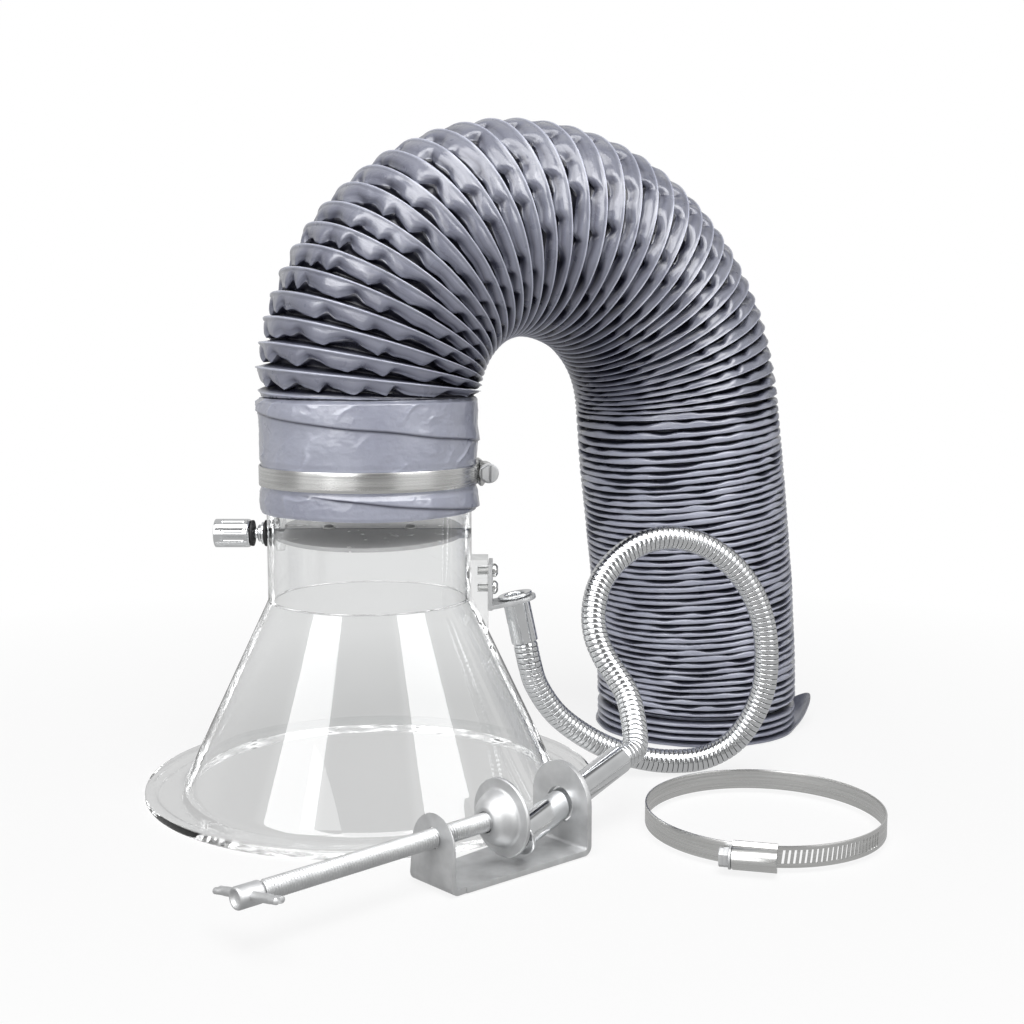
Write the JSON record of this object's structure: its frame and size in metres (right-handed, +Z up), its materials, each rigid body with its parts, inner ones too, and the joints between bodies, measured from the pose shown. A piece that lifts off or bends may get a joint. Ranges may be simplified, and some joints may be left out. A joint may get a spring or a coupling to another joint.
{
  "type": "fume extraction arm",
  "caption": "Bench-top fume extraction arm: clear conical hood with a damper, ribbed flexible duct, gooseneck on a bench clamp, and a spare hose clamp.",
  "frame": {"origin": "middle of the laid-out assembly's footprint, on the floor that it stands on", "axes": "+Z up; +X from the damper knob across the hood towards the duct's outlet, to the right in the picture; +Y away from the camera"},
  "size_m": [0.356, 0.4034, 0.3345],
  "materials": {
    "clear_acrylic": "clear polished acrylic",
    "smoked_acrylic": "smoked grey acrylic",
    "chrome": "bright chrome plate",
    "steel": "fine brushed stainless steel",
    "zinc": "bright zinc plated steel",
    "rubber": "matt black rubber",
    "pvc_fabric": "grey-blue PVC coated fabric, semi-gloss"
  },
  "bodies": {
    "hood": {"hood_cone": "clear_acrylic", "hood_collar": "clear_acrylic", "bracket_block": "clear_acrylic", "bracket_plate": "zinc", "bracket_screw_upper": "steel", "bracket_screw_lower": "steel", "damper_boss": "clear_acrylic", "damper_bush": "chrome", "damper_washer": "rubber", "duct_inlet_cuff": "pvc_fabric", "duct_corrugated": "pvc_fabric", "duct_outlet_cuff": "pvc_fabric", "collar_clamp_band": "steel", "collar_clamp_housing": "steel"},
    "damper": {"damper_disc": "smoked_acrylic", "damper_shaft": "chrome", "damper_knob": "chrome", "damper_knob_ring": "rubber", "damper_screw_left": "steel", "damper_screw_right": "steel"},
    "collar_worm": {"collar_clamp_screw": "zinc"},
    "gooseneck": {"hood_ferrule": "chrome", "gooseneck_tube": "chrome", "clamp_ferrule": "chrome"},
    "bench_clamp": {"clamp_bracket": "zinc"},
    "pad": {"clamp_pad": "zinc"},
    "screw": {"clamp_screw": "zinc"},
    "tbar": {"clamp_tbar": "zinc"},
    "spare_clamp": {"spare_clamp_band": "steel", "spare_clamp_housing": "steel"},
    "spare_worm": {"spare_clamp_screw": "zinc"}
  },
  "joints": [
    {"name": "damper_turn", "type": "hinge", "parent": "hood", "child": "damper", "pos_m": [-0.067, 0.01569, 0.126], "axis": [1, 0, 0], "range_deg": [-4, 86]},
    {"name": "collar_worm_turn", "type": "hinge", "parent": "hood", "child": "collar_worm", "pos_m": [-0.00976, 0.02373, 0.1557], "axis": [0.1392, -0.9903, 0], "continuous": true},
    {"name": "gooseneck_swivel", "type": "hinge", "parent": "hood", "child": "gooseneck", "pos_m": [0.00452, 0.01569, 0.09416], "axis": [-0.2079, 0, 0.9781], "range_deg": [0, 8]},
    {"name": "clamp_slide", "type": "slide", "parent": "gooseneck", "child": "bench_clamp", "axis": [-0.6263, -0.7464, -0.225], "range_m": [0, 0.024]},
    {"name": "clamp_travel", "type": "slide", "parent": "bench_clamp", "child": "pad", "axis": [0.7314, 0.682, 0], "range_m": [-0.022, 0.002]},
    {"name": "screw_turn", "type": "hinge", "parent": "pad", "child": "screw", "pos_m": [-0.03001, -0.12632, 0.021], "axis": [0.7314, 0.682, 0], "range_deg": [-6300, 570]},
    {"name": "tbar_slide", "type": "slide", "parent": "screw", "child": "tbar", "axis": [-0.6695, 0.7179, -0.1908], "range_m": [-0.012, 0.012]},
    {"name": "spare_lift", "type": "slide", "parent": "hood", "child": "spare_clamp", "axis": [0, 0, 1], "range_m": [0, 0.15]},
    {"name": "spare_worm_turn", "type": "hinge", "parent": "spare_clamp", "child": "spare_worm", "pos_m": [0.10337, -0.10998, 0.0063], "axis": [-0.9703, 0.2419, 0], "continuous": true}
  ],
  "couplings": [
    {"joint": "clamp_travel", "follows": "screw_turn", "m_per_rad": 0.00019894}
  ]
}
